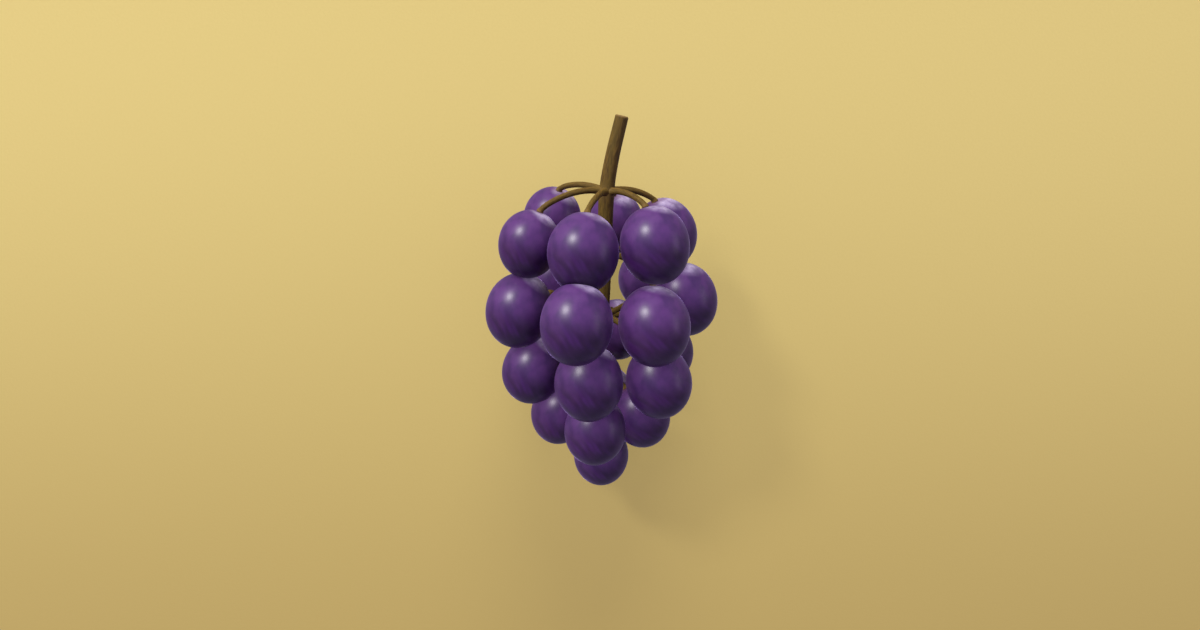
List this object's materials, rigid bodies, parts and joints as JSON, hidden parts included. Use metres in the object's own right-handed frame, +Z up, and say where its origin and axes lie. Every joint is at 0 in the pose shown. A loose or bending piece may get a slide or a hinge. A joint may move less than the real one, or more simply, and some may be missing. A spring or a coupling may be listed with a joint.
{
  "type": "bunch of grapes",
  "caption": "Bunch of large purple table grapes on their branched stem with a cut end, lying on its back, for food displays, fruit bowls and table settings.",
  "frame": {"origin": "on the surface that the bunch lies on, under the middle of its bounding box", "axes": "+Y along the bunch towards the cut end of the stem, +Z up, the front of the bunch facing up"},
  "size_m": [0.0916, 0.1518, 0.0863],
  "materials": {
    "grape_skin": "smooth taut purple skin, soft gloss, a thin pale bloom that shows at the rims, darker underneath",
    "stem": "olive brown woody bark, matt, fine lengthwise grain, darker towards the grapes"
  },
  "bodies": {
    "root": {"stem": "stem", "grape_1_1": "grape_skin", "grape_1_2": "grape_skin", "grape_1_3": "grape_skin", "grape_1_4": "grape_skin", "grape_1_5": "grape_skin", "grape_1_6": "grape_skin", "grape_2_1": "grape_skin", "grape_2_2": "grape_skin", "grape_2_3": "grape_skin", "grape_2_4": "grape_skin", "grape_2_5": "grape_skin", "grape_2_6": "grape_skin", "grape_3_1": "grape_skin", "grape_3_2": "grape_skin", "grape_3_3": "grape_skin", "grape_3_4": "grape_skin", "grape_3_5": "grape_skin", "grape_3_6": "grape_skin", "grape_4_1": "grape_skin", "grape_4_2": "grape_skin", "grape_4_3": "grape_skin", "grape_4_4": "grape_skin", "grape_5_1": "grape_skin"}
  },
  "joints": []
}
